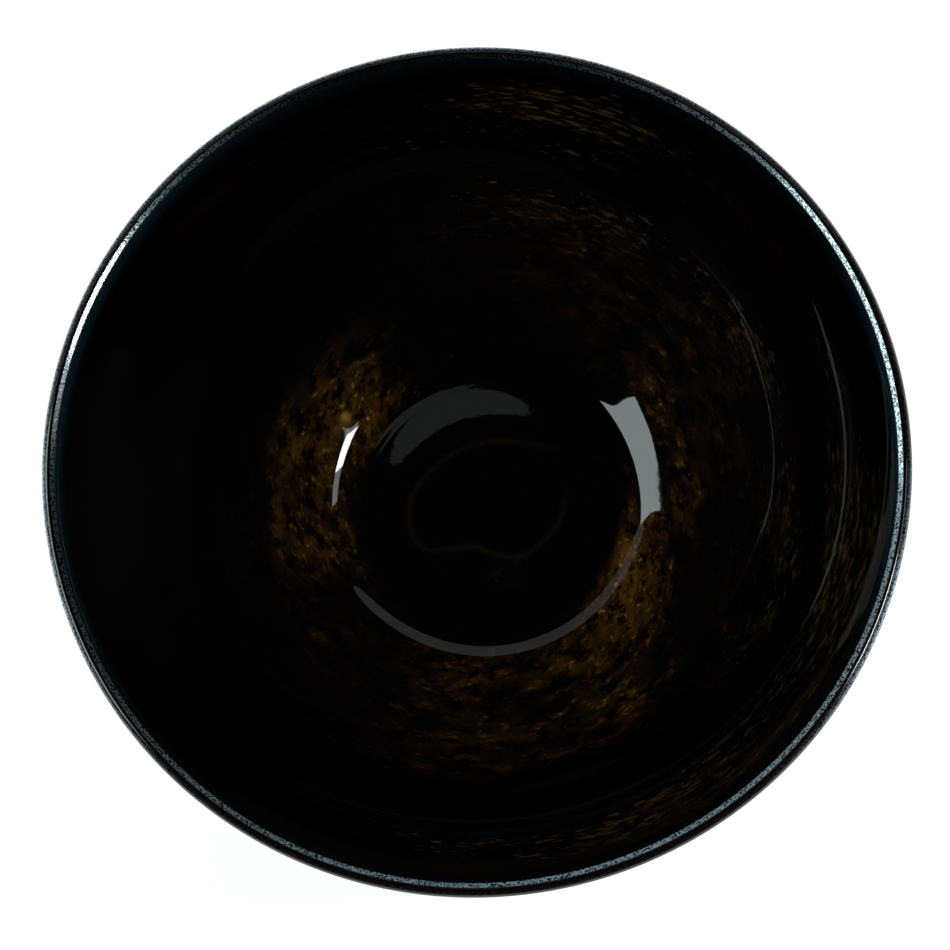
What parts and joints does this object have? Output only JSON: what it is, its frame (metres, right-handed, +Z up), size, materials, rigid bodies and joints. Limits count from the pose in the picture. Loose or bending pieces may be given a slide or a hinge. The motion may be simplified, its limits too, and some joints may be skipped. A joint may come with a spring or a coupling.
{
  "type": "glazed stoneware bowl",
  "caption": "Wide, round thrown bowl with a soft lip, a wall that flares and steepens to the rim, a level floor inside and a turned foot ring, used as a table ornament or serving bowl.",
  "frame": {"origin": "centre of the foot ring's underside, on the surface that the bowl stands on", "axes": "+Z up along the bowl's axis; X and Y lie level and, as the bowl is round, are interchangeable"},
  "size_m": [0.18, 0.18, 0.068],
  "materials": {
    "glaze": "glossy near-black glaze with amber and red-brown flecks, a silvery speckled lip and a bare dark clay foot ring"
  },
  "bodies": {
    "root": {"bowl": "glaze"}
  },
  "joints": []
}
